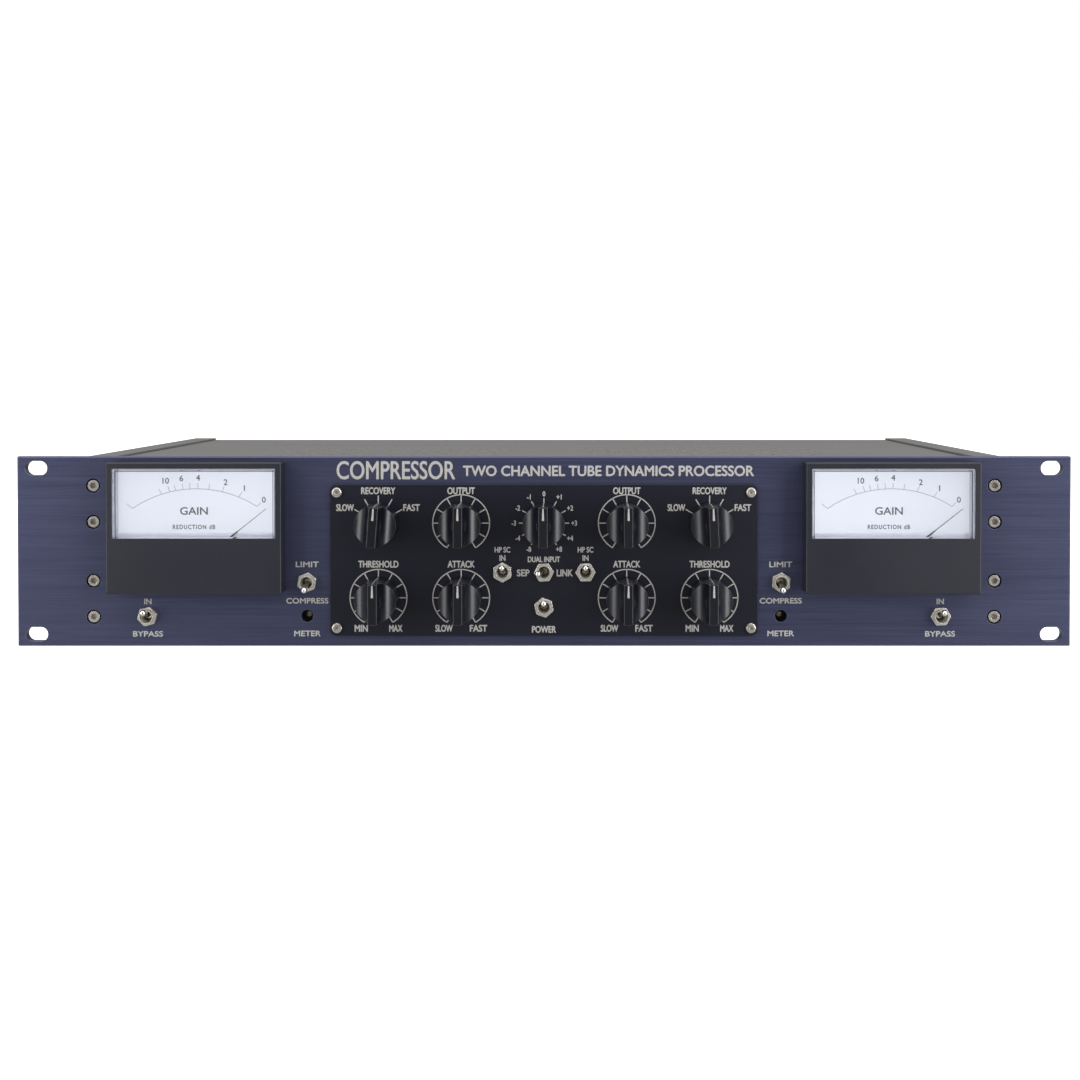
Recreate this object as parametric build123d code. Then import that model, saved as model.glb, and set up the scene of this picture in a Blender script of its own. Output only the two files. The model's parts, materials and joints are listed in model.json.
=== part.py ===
from build123d import *

import os
from math import cos, radians, sin

# A two-channel tube compressor for a 19 inch rack, two rack units tall.
# Millimetres. The origin is the centre of the front panel's rear face, which bolts
# to the rack. +X is to the right seen from the front, +Y runs to the rear, +Z is up.

# Front panel
PANEL_WIDTH = 482.6
PANEL_HEIGHT = 87.0
PANEL_THICKNESS = 4.76
PANEL_EDGE = 0.5
FRONT = -PANEL_THICKNESS
RACK_SLOT_SPACING_X = 465.1
RACK_SLOT_SPACING_Z = 76.2
RACK_SLOT_LENGTH = 10.2
RACK_SLOT_HEIGHT = 6.6

# Control plate on the middle of the panel
PLATE_WIDTH = 195.8
PLATE_HEIGHT = 69.5
PLATE_Z = -3.9
PLATE_THICKNESS = 1.6
PLATE_CORNER = 3.0
PLATE_FRONT = FRONT - PLATE_THICKNESS
PLATE_SCREW_X = 94.65
PLATE_SCREW_Z = 31.0

# Chassis box behind the panel
CHASSIS_DEPTH = 222.0
REAR_PANEL_THICKNESS = 2.0
RAIL_DEPTH = CHASSIS_DEPTH - REAR_PANEL_THICKNESS
RAIL_INNER_X = 200.5
RAIL_OUTER_X = 212.5
RAIL_WALL = 3.0
RAIL_HALF_HEIGHT = 43.0
RAIL_LIP = 0.9
RAIL_BOSS = 8.0
COVER_THICKNESS = 1.5
COVER_GAP = 0.2
COVER_TOP = RAIL_HALF_HEIGHT - RAIL_LIP - COVER_GAP
COVER_HALF_WIDTH = RAIL_OUTER_X - RAIL_WALL - 0.5
FLOOR = COVER_THICKNESS - COVER_TOP

# Screws into the side rails
RAIL_SCREW_X = 206.4
RAIL_SCREW_Z = (-30.1, -13.5, 13.5, 30.1)
RAIL_SCREW_RADIUS = 1.7
RAIL_SCREW_HEAD_RADIUS = 2.55
RAIL_SCREW_HEAD_HEIGHT = 3.3
COUNTERBORE_RADIUS = 3.3
COUNTERBORE_DEPTH = 3.5

# Vents in the covers
VENT_RADIUS = 2.2
VENT_PITCH = 10.0
VENT_COLUMNS = 12
VENT_ROWS = 7
VENT_FIELD_X = 78.0
VENT_FIELD_Y = 76.0

# Round controls: nine dials in two rows
DIAL_PITCH = 37.85
DIAL_UPPER_Z = 13.1
DIAL_LOWER_Z = -21.1
SHAFT_RADIUS = 3.175
RUNNING_CLEARANCE = 0.05
CONTROL_BUSHING_RADIUS = 4.76
CONTROL_BUSHING_TIP = -11.5
CONTROL_HOLE_RADIUS = 4.9
CONTROL_NUT_FLATS = 12.7
POT_RADIUS = 12.0
POT_DEPTH = 13.0
ROTARY_RADIUS = 14.5
ROTARY_DEPTH = 24.0

# Bar knob
KNOB_RADIUS = 9.45
KNOB_FRONT_RADIUS = 9.1
KNOB_GAP = 1.3
KNOB_LENGTH = 22.6
KNOB_RIM = 0.53
KNOB_BAR_HALF = 2.1
KNOB_BAR_ROOT_HALF = 2.5
KNOB_RECESS_RADIUS = 8.0
KNOB_RECESS_DEPTH = 5.5
KNOB_EDGE = 0.45
KNOB_REAR = PLATE_FRONT - KNOB_GAP
KNOB_FRONT = KNOB_REAR - KNOB_LENGTH
KNOB_RIM_Y = KNOB_REAR - KNOB_RIM * KNOB_LENGTH

# Toggle switches
TOGGLE_TILT = 13.0
TOGGLE_PIVOT = FRONT + 2.5
TOGGLE_TIP = FRONT - 10.7
TOGGLE_BUSHING_RADIUS = 3.175
TOGGLE_BUSHING_TIP = FRONT - 3.9
TOGGLE_THROAT = 2.0
TOGGLE_MOUTH = 2.75
TOGGLE_HOLE_RADIUS = 3.3
TOGGLE_NUT_FLATS = 8.0
TOGGLE_NUT_THICKNESS = 2.0
TOGGLE_NUT_CROWN = 4.42
TOGGLE_NUT_CROWN_ROOT = 5.3
TOGGLE_BODY_LONG = 13.2
TOGGLE_BODY_WIDE = 8.0
TOGGLE_BODY_DEPTH = 11.0
LEVER_BALL = 1.9
LEVER_NECK = 0.95
LEVER_TIP = 1.45

# Meters
METER_X = 158.2
METER_Z = 11.4
METER_WIDTH = 79.3
METER_HEIGHT = 59.5
METER_DEPTH = 10.4
METER_WALL = 2.0
METER_FRONT = FRONT - METER_DEPTH
WINDOW_HALF_WIDTH = 36.9
WINDOW_BOTTOM = 6.8
WINDOW_TOP = 38.4
BARREL_Z = 5.0
BARREL_RADIUS = 22.0
BARREL_HOLE_RADIUS = 22.4
BARREL_REAR = 24.0
POINTER_PIVOT_Z = -5.5
POINTER_LENGTH = 41.0
POINTER_REST = 51.5
POINTER_HALF_WIDTHS = (0.36, 0.16, 0.12)
POINTER_Y = -10.6
SCALE_FRONT = -8.4
SCALE_THICKNESS = 0.8

# Meter trimmers behind their access holes
TRIMMER_X = 108.6
TRIMMER_Z = -29.7
TRIMMER_HOLE_RADIUS = 2.8
TRIMMER_CASE_HALF = 4.75
TRIMMER_CASE_DEPTH = 9.0
TRIMMER_WELL_RADIUS = 3.2
TRIMMER_WELL_DEPTH = 3.0
TRIMMER_ROTOR_RADIUS = 1.15
TRIMMER_ROTOR_FRONT = 1.6
TRIMMER_ROTOR_REAR = 7.5

# Rear connectors
XLR_INPUT_X = (-178.0, -98.0)
XLR_OUTPUT_X = (-138.0, -58.0)
XLR_FLANGE_WIDTH = 26.0
XLR_FLANGE_HEIGHT = 31.0
CONNECTOR_FLANGE = 2.0
XLR_BARREL_RADIUS = 11.8
XLR_SCREW_X = 9.5
XLR_SCREW_Z = 12.0
INLET_X = 162.0
INLET_SCREW_X = 20.0
SMALL_SCREW_RADIUS = 1.45

# Boards inside
BOARD_Z = -30.0
BOARD_THICKNESS = 1.6
AUDIO_BOARD = (-118.0, 96.0, 36.0, 158.0)
POWER_BOARD = (-196.0, -128.0, 50.0, 182.0)
STANDOFF_INSET = 6.0
TUBE_COUNT = 6
TUBE_PITCH = 35.5
TUBE_FIRST_X = -99.8
TUBE_Y = 92.0
TUBE_X = [TUBE_FIRST_X + TUBE_PITCH * index for index in range(TUBE_COUNT)]

# Power transformer
TOROID_X = 150.0
TOROID_Y = 122.0
TOROID_RADIUS = 44.0
TOROID_HEIGHT = 46.0
TOROID_BOLT_RADIUS = 3.0

# Each dial: X, Z, what the knob turns, and how far its bar leans from upright. The two
# switch knobs aren't clamped quite square on their shafts.
DIALS = {
    "left_recovery_knob": (-2 * DIAL_PITCH, DIAL_UPPER_Z, "switch", 4.0),
    "left_output_knob": (-DIAL_PITCH, DIAL_UPPER_Z, "pot", 0.0),
    "input_knob": (0.0, DIAL_UPPER_Z, "pot", 0.0),
    "right_output_knob": (DIAL_PITCH, DIAL_UPPER_Z, "pot", 0.0),
    "right_recovery_knob": (2 * DIAL_PITCH, DIAL_UPPER_Z, "switch", -2.5),
    "left_threshold_knob": (-2 * DIAL_PITCH, DIAL_LOWER_Z, "pot", 0.0),
    "left_attack_knob": (-DIAL_PITCH, DIAL_LOWER_Z, "pot", 0.0),
    "right_attack_knob": (DIAL_PITCH, DIAL_LOWER_Z, "pot", 0.0),
    "right_threshold_knob": (2 * DIAL_PITCH, DIAL_LOWER_Z, "pot", 0.0),
}

# Each toggle: X, Z, where its lever rests, whether it stands on the control plate,
# and the angle at which its nut happened to be tightened.
TOGGLES = {
    "left_bypass_lever": (-181.6, -29.7, "up", False, 46),
    "left_mode_lever": (-108.5, -14.1, "down", False, 39),
    "left_filter_lever": (-19.0, -9.3, "up", True, 30),
    "link_lever": (0.0, -9.3, "left", True, 57),
    "power_lever": (0.0, -25.4, "up", True, 19),
    "right_filter_lever": (19.0, -9.3, "up", True, 58),
    "right_mode_lever": (108.5, -14.1, "down", False, 35),
    "right_bypass_lever": (181.6, -29.7, "up", False, 58),
}

SIDES = {"left": -1, "right": 1}


def block(x0, x1, y0, y1, z0, z1):
    """A plain block between two corners."""
    centre = Pos((x0 + x1) / 2, (y0 + y1) / 2, (z0 + z1) / 2)
    return centre * Box(x1 - x0, y1 - y0, z1 - z0)


def rod(x, z, y0, y1, radius, end_radius=None):
    """A round bar along Y, tapered if it has an end radius."""
    place = Pos(x, (y0 + y1) / 2, z) * Rot(-90, 0, 0)
    if end_radius is None:
        return place * Cylinder(radius, y1 - y0)
    return place * Cone(radius, end_radius, y1 - y0)


def post(x, y, z0, z1, radius):
    """A round upright bar."""
    return Pos(x, y, (z0 + z1) / 2) * Cylinder(radius, z1 - z0)


def prism(sketch, x, z, y0, y1, turn=0):
    """A flat outline drawn about its own centre and pushed along Y."""
    half = (y1 - y0) / 2
    place = Pos(x, y0 + half, z) * Rot(0, turn, 0) * Rot(90, 0, 0)
    return place * extrude(sketch, amount=half, both=True)


def hexagon(x, z, y0, y1, flats, turn=0):
    """A hexagonal bar along Y, measured across its flats."""
    outline = RegularPolygon(radius=flats / 2, side_count=6, major_radius=False)
    return prism(outline, x, z, y0, y1, turn)


def corners(half_x, half_z):
    """The four corners of a rectangle about the origin."""
    return [(x, z) for x in (-half_x, half_x) for z in (-half_z, half_z)]


def cap_screw(x, z, head_y, head_height, head_radius, radius, length, flats, facing=1):
    """A socket screw along Y; facing is the way its point goes."""
    under = head_y + facing * head_height
    point = under + facing * length
    socket = head_y + facing * head_height * 0.6
    head = rod(x, z, min(head_y, under), max(head_y, under), head_radius)
    shank = rod(x, z, min(under, point), max(under, point), radius)
    recess = hexagon(x, z, min(head_y, socket), max(head_y, socket), flats)
    return head + shank - recess


# Front panel and control plate

def control_cutters(y0, y1, only_plate):
    """The holes for shafts and toggles."""
    cutters = [rod(x, z, y0, y1, CONTROL_HOLE_RADIUS) for x, z, _, _ in DIALS.values()]
    for x, z, _, on_plate, _ in TOGGLES.values():
        if on_plate or not only_plate:
            cutters.append(rod(x, z, y0, y1, TOGGLE_HOLE_RADIUS))
    for x, z in corners(PLATE_SCREW_X, PLATE_SCREW_Z):
        cutters.append(rod(x, z + PLATE_Z, y0, y1, SMALL_SCREW_RADIUS))
    return cutters


def make_front_panel():
    """The face plate that bolts to the rack and carries everything else."""
    half_x, half_z = PANEL_WIDTH / 2, PANEL_HEIGHT / 2
    panel = block(-half_x, half_x, FRONT, 0, -half_z, half_z)
    panel = chamfer(panel.faces().sort_by(Axis.Y)[0].edges(), PANEL_EDGE)
    y0, y1 = FRONT - 1, 1
    cutters = control_cutters(y0, y1, only_plate=False)
    slot = SlotOverall(RACK_SLOT_LENGTH, RACK_SLOT_HEIGHT)
    for x, z in corners(RACK_SLOT_SPACING_X / 2, RACK_SLOT_SPACING_Z / 2):
        cutters.append(prism(slot, x, z, y0, y1))
    for side in SIDES.values():
        cutters.append(rod(side * METER_X, BARREL_Z, y0, y1, BARREL_HOLE_RADIUS))
        cutters.append(rod(side * TRIMMER_X, TRIMMER_Z, y0, y1, TRIMMER_HOLE_RADIUS))
        for z in RAIL_SCREW_Z:
            x = side * RAIL_SCREW_X
            cutters.append(rod(x, z, y0, FRONT + COUNTERBORE_DEPTH, COUNTERBORE_RADIUS))
            cutters.append(rod(x, z, y0, y1, RAIL_SCREW_RADIUS + 0.2))
    return panel - cutters


def make_control_plate():
    """The thin black plate that names the controls."""
    outline = RectangleRounded(PLATE_WIDTH, PLATE_HEIGHT, PLATE_CORNER)
    plate = prism(outline, 0, PLATE_Z, PLATE_FRONT, FRONT)
    plate = chamfer(plate.faces().sort_by(Axis.Y)[0].edges(), 0.25)
    return plate - control_cutters(PLATE_FRONT - 1, FRONT + 1, only_plate=True)


def make_front_panel_screws():
    """Eight cap screws through the panel into the side rails."""
    return Compound([
        cap_screw(side * RAIL_SCREW_X, z, FRONT + COUNTERBORE_DEPTH - RAIL_SCREW_HEAD_HEIGHT,
                  RAIL_SCREW_HEAD_HEIGHT, RAIL_SCREW_HEAD_RADIUS, RAIL_SCREW_RADIUS, 13.0, 2.78)
        for side in SIDES.values() for z in RAIL_SCREW_Z
    ])


def make_control_plate_screws():
    """Four button-head screws at the plate's corners."""
    screws = []
    for x, z in corners(PLATE_SCREW_X, PLATE_SCREW_Z):
        height = 1.4
        screw = cap_screw(x, z + PLATE_Z, PLATE_FRONT - height, height, 2.35,
                          SMALL_SCREW_RADIUS - 0.05, 5.0, 1.6)
        rim = screw.faces().sort_by(Axis.Y)[0].outer_wire().edges()
        screws.append(fillet(rim, 0.8))
    return Compound(screws)


# Chassis

def make_side_rail(side):
    """An extruded side: wall, grooves for both covers, and four screw channels."""
    wall_x = RAIL_OUTER_X - RAIL_WALL
    half = RAIL_HALF_HEIGHT
    rail = block(wall_x, RAIL_OUTER_X, 0, RAIL_DEPTH, -half, half)
    groove = COVER_THICKNESS + 2 * COVER_GAP
    for up in (-1, 1):
        for top in (half, half - RAIL_LIP - groove):
            z0, z1 = sorted((up * top, up * (top - RAIL_LIP)))
            rail += block(RAIL_INNER_X, wall_x, 0, RAIL_DEPTH, z0, z1)
    for z in RAIL_SCREW_Z:
        boss_x = RAIL_SCREW_X - RAIL_BOSS / 2
        rail += block(boss_x, wall_x, 0, RAIL_DEPTH, z - RAIL_BOSS / 2, z + RAIL_BOSS / 2)
    channels = [rod(RAIL_SCREW_X, z, -1, RAIL_DEPTH + 1, RAIL_SCREW_RADIUS + RUNNING_CLEARANCE)
                for z in RAIL_SCREW_Z]
    rail -= channels
    return rail if side > 0 else mirror(rail, about=Plane.YZ)


def vent_places():
    """Staggered rows of round vents, one field over each channel's tubes."""
    places = []
    for side in SIDES.values():
        for row in range(VENT_ROWS):
            shift = VENT_PITCH / 4 * (1 if row % 2 else -1)
            for column in range(VENT_COLUMNS):
                x = side * VENT_FIELD_X + (column - (VENT_COLUMNS - 1) / 2) * VENT_PITCH + shift
                y = VENT_FIELD_Y + (row - (VENT_ROWS - 1) / 2) * VENT_PITCH
                places.append((x, y))
    return places


def make_top_cover():
    """The lid, which slides along the rails' upper grooves."""
    length = RAIL_DEPTH - 2 * COVER_GAP
    sheet = Rectangle(2 * COVER_HALF_WIDTH, length)
    centre_y = RAIL_DEPTH / 2
    holes = [Pos(x, y - centre_y) * Circle(VENT_RADIUS) for x, y in vent_places()]
    sheet -= holes
    return Pos(0, centre_y, COVER_TOP - COVER_THICKNESS) * extrude(sheet, amount=COVER_THICKNESS)


def make_bottom_cover():
    """The floor sheet, with two rows of air slots under the tubes."""
    length = RAIL_DEPTH - 2 * COVER_GAP
    centre_y = RAIL_DEPTH / 2
    sheet = Rectangle(2 * COVER_HALF_WIDTH, length)
    slot = Rot(0, 0, 90) * SlotOverall(28.0, 3.0)
    slots = [Pos(side * VENT_FIELD_X + step * 10.0, y - centre_y) * slot
             for side in SIDES.values() for step in range(-4, 5) for y in (60.0, 106.0)]
    sheet -= slots
    bolt = Pos(TOROID_X, TOROID_Y - centre_y) * Circle(TOROID_BOLT_RADIUS + 0.1)
    sheet -= bolt
    return Pos(0, centre_y, -COVER_TOP) * extrude(sheet, amount=COVER_THICKNESS)


def make_rear_panel():
    """The back plate, as high as the covers, cut for the connectors."""
    half = COVER_TOP
    y0, y1 = RAIL_DEPTH - 1, CHASSIS_DEPTH + 1
    panel = block(-RAIL_OUTER_X, RAIL_OUTER_X, RAIL_DEPTH, CHASSIS_DEPTH, -half, half)
    cutters = [rod(x, z, y0, y1, RAIL_SCREW_RADIUS + 0.2)
               for x, z in corners(RAIL_SCREW_X, RAIL_SCREW_Z[-1])]
    for x in XLR_INPUT_X + XLR_OUTPUT_X:
        cutters.append(rod(x, 0, y0, y1, XLR_BARREL_RADIUS + 0.2))
    for x, z in connector_screw_places():
        cutters.append(rod(x, z, y0, y1, SMALL_SCREW_RADIUS))
    cutters.append(block(INLET_X - 14.0, INLET_X + 14.0, y0, y1, -14.2, 14.6))
    return panel - cutters


def make_rear_panel_screws():
    """Four screws that hold the back plate to the rails."""
    height = 1.8
    return Compound([
        cap_screw(x, z, CHASSIS_DEPTH + height, height, 2.8, RAIL_SCREW_RADIUS, 12.0, 2.0, facing=-1)
        for x, z in corners(RAIL_SCREW_X, RAIL_SCREW_Z[-1])
    ])


# Round controls

def make_control(x, z, radius, depth, lugs):
    """A potentiometer or rotary switch: bushing, can and solder lugs."""
    bore = SHAFT_RADIUS + RUNNING_CLEARANCE
    body = rod(x, z, 0, depth, radius) + rod(x, z, CONTROL_BUSHING_TIP, 0, CONTROL_BUSHING_RADIUS)
    for step in range(lugs):
        lug_x = x + (step - (lugs - 1) / 2) * 4.0
        body += block(lug_x - 0.9, lug_x + 0.9, depth - 5, depth - 4.2, z - radius - 2.0, z)
    return body - rod(x, z, CONTROL_BUSHING_TIP - 1, 9.0, bore)


def make_controls(kind, radius, depth, lugs):
    """All controls of one kind."""
    places = [(x, z) for x, z, dial_kind, _ in DIALS.values() if dial_kind == kind]
    return Compound([make_control(x, z, radius, depth, lugs) for x, z in places])


def make_control_nuts():
    """The thin nuts that the knobs hide."""
    return Compound([
        hexagon(x, z, PLATE_FRONT - 2.2, PLATE_FRONT, CONTROL_NUT_FLATS)
        - rod(x, z, PLATE_FRONT - 3, PLATE_FRONT + 1, CONTROL_BUSHING_RADIUS + 0.04)
        for x, z, _, _ in DIALS.values()
    ])


def knob_scoop():
    """One side's hollow beside the bar: the outline is pushed along the bar."""
    radius = KNOB_RADIUS - KNOB_BAR_ROOT_HALF
    root_y = KNOB_RIM_Y - radius
    outside = KNOB_RADIUS + 2
    bend = radians(45)
    arc_mid = (KNOB_RADIUS - radius * cos(bend), root_y + radius * sin(bend))
    edges = [
        Line((KNOB_BAR_HALF, KNOB_FRONT), (KNOB_BAR_ROOT_HALF, root_y)),
        ThreePointArc((KNOB_BAR_ROOT_HALF, root_y), arc_mid, (KNOB_RADIUS, KNOB_RIM_Y)),
        Line((KNOB_RADIUS, KNOB_RIM_Y), (outside, KNOB_RIM_Y)),
        Line((outside, KNOB_RIM_Y), (outside, KNOB_FRONT - 1)),
        Line((outside, KNOB_FRONT - 1), (KNOB_BAR_HALF, KNOB_FRONT - 1)),
        Line((KNOB_BAR_HALF, KNOB_FRONT - 1), (KNOB_BAR_HALF, KNOB_FRONT)),
    ]
    return extrude(make_face(edges), amount=KNOB_RADIUS + 2, both=True)


def make_knob():
    """A bar knob with its shaft and set screw, about the origin of its dial."""
    skirt = rod(0, 0, KNOB_RIM_Y, KNOB_REAR, KNOB_RADIUS)
    upper = rod(0, 0, KNOB_FRONT, KNOB_RIM_Y, KNOB_FRONT_RADIUS, KNOB_RADIUS)
    scoop = knob_scoop()
    body = skirt + upper - [scoop, mirror(scoop, about=Plane.YZ)]
    body = fillet(body.faces().sort_by(Axis.Y)[0].edges(), KNOB_EDGE)
    shaft_tip = KNOB_FRONT + 6.0
    screw_y = KNOB_RIM_Y + 3.0
    body -= [
        rod(0, 0, KNOB_REAR - KNOB_RECESS_DEPTH, KNOB_REAR + 1, KNOB_RECESS_RADIUS),
        rod(0, 0, shaft_tip - 0.5, KNOB_REAR, SHAFT_RADIUS + 0.02),
        post(0, screw_y, -KNOB_RADIUS - 1, 0, 1.6),
    ]
    shaft = rod(0, 0, shaft_tip, 8.0, SHAFT_RADIUS)
    set_screw = post(0, screw_y, -KNOB_RADIUS + 0.6, -SHAFT_RADIUS, 1.55)
    return [body, shaft, set_screw]


# Toggle switches

def toggle_axis(lean):
    """The turn that takes an upright toggle to its working direction."""
    return 90 if lean == "left" else 0


def make_toggle_body(x, z, lean):
    """A miniature switch: threaded bushing with a flared mouth, case and lugs."""
    turn = toggle_axis(lean)
    case = prism(Rectangle(TOGGLE_BODY_WIDE, TOGGLE_BODY_LONG), x, z, 0, TOGGLE_BODY_DEPTH, turn)
    body = case + rod(x, z, TOGGLE_BUSHING_TIP, 0, TOGGLE_BUSHING_RADIUS)
    lug = Rectangle(1.6, 0.8)
    for step in (-4.7, 0, 4.7):
        dx, dz = (step, 0) if lean == "left" else (0, step)
        body += prism(lug, x + dx, z + dz, TOGGLE_BODY_DEPTH, TOGGLE_BODY_DEPTH + 4, turn)
    front_mouth = rod(x, z, TOGGLE_BUSHING_TIP - 0.01, TOGGLE_PIVOT, TOGGLE_MOUTH, TOGGLE_THROAT)
    rear_mouth = rod(x, z, TOGGLE_PIVOT, TOGGLE_PIVOT + 6.4, TOGGLE_THROAT, TOGGLE_MOUTH)
    return body - [front_mouth, rear_mouth]


def make_toggle_bodies():
    """The eight switches behind the panel."""
    return Compound([make_toggle_body(x, z, lean) for x, z, lean, _, _ in TOGGLES.values()])


def make_toggle_nuts():
    """Hexagonal nuts on the bushings, each where it was tightened."""
    nuts = []
    for x, z, _, on_plate, turn in TOGGLES.values():
        seat = PLATE_FRONT if on_plate else FRONT
        nut = hexagon(x, z, seat - TOGGLE_NUT_THICKNESS, seat, TOGGLE_NUT_FLATS, turn)
        crown = rod(x, z, seat - TOGGLE_NUT_THICKNESS, seat, TOGGLE_NUT_CROWN, TOGGLE_NUT_CROWN_ROOT)
        nuts.append((nut & crown) - rod(x, z, seat - 3, seat + 1, TOGGLE_BUSHING_RADIUS + 0.04))
    return Compound(nuts)


def make_lever(x, z, lean):
    """A bat lever that thickens towards its round tip, tilted to where it rests."""
    length = TOGGLE_PIVOT - TOGGLE_TIP
    ball = Sphere(LEVER_BALL)
    stem = rod(0, 0, -(length - LEVER_TIP), 0, LEVER_TIP, LEVER_NECK)
    tip = Pos(0, -(length - LEVER_TIP), 0) * Sphere(LEVER_TIP)
    tail = rod(0, 0, 0, 4.5, LEVER_NECK)
    lever = ball + stem + tip + tail
    turns = {
        "up": Rot(-TOGGLE_TILT, 0, 0),
        "down": Rot(TOGGLE_TILT, 0, 0),
        "left": Rot(0, 0, -TOGGLE_TILT),
    }
    return Pos(x, TOGGLE_PIVOT, z) * turns[lean] * lever


# Meters

def make_meter_housing(x):
    """The square case that stands proud of the panel, open for its window."""
    half_x, half_z = METER_WIDTH / 2, METER_HEIGHT / 2
    case = block(x - half_x, x + half_x, METER_FRONT, FRONT, METER_Z - half_z, METER_Z + half_z)
    case = fillet(case.edges().filter_by(Axis.Y), 0.8)
    case = fillet(case.faces().sort_by(Axis.Y)[0].edges(), 0.6)
    inside = block(x - half_x + METER_WALL, x + half_x - METER_WALL,
                   METER_FRONT + METER_WALL, FRONT - METER_WALL,
                   METER_Z - half_z + METER_WALL, METER_Z + half_z - METER_WALL)
    opening = block(x - WINDOW_HALF_WIDTH, x + WINDOW_HALF_WIDTH, METER_FRONT - 1,
                    METER_FRONT + METER_WALL + 1, WINDOW_BOTTOM, WINDOW_TOP)
    barrel = rod(x, BARREL_Z, FRONT - METER_WALL - 1, FRONT + 1, BARREL_RADIUS + 0.05)
    return case - [inside, opening, barrel]


def make_meter_window(x):
    """The clear pane, bevelled all round, flush with the case."""
    gap = 0.08
    pane = block(x - WINDOW_HALF_WIDTH + gap, x + WINDOW_HALF_WIDTH - gap, METER_FRONT,
                 METER_FRONT + METER_WALL, WINDOW_BOTTOM + gap, WINDOW_TOP - gap)
    return chamfer(pane.faces().sort_by(Axis.Y)[0].edges(), 0.7)


def make_meter_scale(x):
    """The white dial sheet behind the pointer."""
    half = METER_WIDTH / 2 - METER_WALL - 0.1
    top = METER_Z + METER_HEIGHT / 2 - METER_WALL - 0.1
    return block(x - half, x + half, SCALE_FRONT, SCALE_FRONT + SCALE_THICKNESS, 4.0, top)


def make_meter_movement(x):
    """The round barrel through the panel, and the magnet block around the pivot."""
    front = FRONT - METER_WALL
    barrel = rod(x, BARREL_Z, front, BARREL_REAR, BARREL_RADIUS)
    barrel -= rod(x, BARREL_Z, front - 1, BARREL_REAR - 2, BARREL_RADIUS - 1.5)
    magnet = rod(x, POINTER_PIVOT_Z, -5.0, BARREL_REAR - 2, 8.0)
    magnet -= rod(x, POINTER_PIVOT_Z, -6.0, 13.0, 0.65)
    return [barrel, magnet]


def make_meter_movements():
    """Both meters' movements."""
    return Compound([solid for side in SIDES.values() for solid in make_meter_movement(side * METER_X)])


def make_meter_clamp_rings():
    """Ring nuts that pull the meters against the panel from behind."""
    return Compound([
        rod(side * METER_X, BARREL_Z, 0, 3.0, 25.5)
        - rod(side * METER_X, BARREL_Z, -1, 4.0, BARREL_RADIUS + 0.05)
        for side in SIDES.values()
    ])


def make_meter_pointer(x):
    """A balanced pointer on its spindle, standing at its rest angle."""
    waist = POINTER_LENGTH * 0.58
    root, blade, tip = POINTER_HALF_WIDTHS
    outline = make_face(Polyline(
        (-root, 0), (-root, waist), (-blade, waist + 1.5), (-tip, POINTER_LENGTH),
        (tip, POINTER_LENGTH), (blade, waist + 1.5), (root, waist), (root, 0), close=True))
    arm = prism(outline, 0, 0, POINTER_Y, POINTER_Y + 0.4)
    hub = rod(0, 0, POINTER_Y - 0.5, POINTER_Y + 4.4, 2.4)
    tail = block(-0.5, 0.5, POINTER_Y, POINTER_Y + 0.4, -8.0, 0)
    weight = rod(0, -7.5, POINTER_Y - 0.3, POINTER_Y + 0.9, 1.4)
    spindle = rod(0, 0, POINTER_Y - 1.2, 12.0, 0.6)
    pointer = arm + hub + tail + weight + spindle
    return Pos(x, 0, POINTER_PIVOT_Z) * Rot(0, POINTER_REST, 0) * pointer


# Trimmers

def make_trimmer_bodies():
    """The square trimmer cases against the panel's rear, each with a well around its screw."""
    cases = []
    for side in SIDES.values():
        x = side * TRIMMER_X
        half = TRIMMER_CASE_HALF
        case = block(x - half, x + half, 0, TRIMMER_CASE_DEPTH, TRIMMER_Z - half, TRIMMER_Z + half)
        well = rod(x, TRIMMER_Z, -1, TRIMMER_WELL_DEPTH, TRIMMER_WELL_RADIUS)
        bore = rod(x, TRIMMER_Z, -1, TRIMMER_ROTOR_REAR + 0.5, TRIMMER_ROTOR_RADIUS + RUNNING_CLEARANCE)
        cases.append(case - [well, bore])
    return Compound(cases)


def make_trimmer_rotor(x):
    """The slotted brass screw that a screwdriver turns through the panel."""
    rotor = rod(x, TRIMMER_Z, TRIMMER_ROTOR_FRONT, TRIMMER_ROTOR_REAR, TRIMMER_ROTOR_RADIUS)
    slot = Rectangle(3.0, 0.4)
    return rotor - prism(slot, x, TRIMMER_Z, TRIMMER_ROTOR_FRONT - 1, TRIMMER_ROTOR_FRONT + 0.5, 20)


# Rear connectors

def connector_screw_places():
    """Two screws for each connector."""
    places = []
    for x in XLR_INPUT_X + XLR_OUTPUT_X:
        places += [(x - XLR_SCREW_X, XLR_SCREW_Z), (x + XLR_SCREW_X, -XLR_SCREW_Z)]
    places += [(INLET_X - INLET_SCREW_X, 0), (INLET_X + INLET_SCREW_X, 0)]
    return places


def make_connector_screws():
    """Countersunk-size button screws in the connectors' flanges."""
    height = 1.2
    seat = CHASSIS_DEPTH + CONNECTOR_FLANGE
    return Compound([
        cap_screw(x, z, seat + height, height, 2.6, SMALL_SCREW_RADIUS - 0.05, 6.0, 1.6, facing=-1)
        for x, z in connector_screw_places()
    ])


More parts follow.
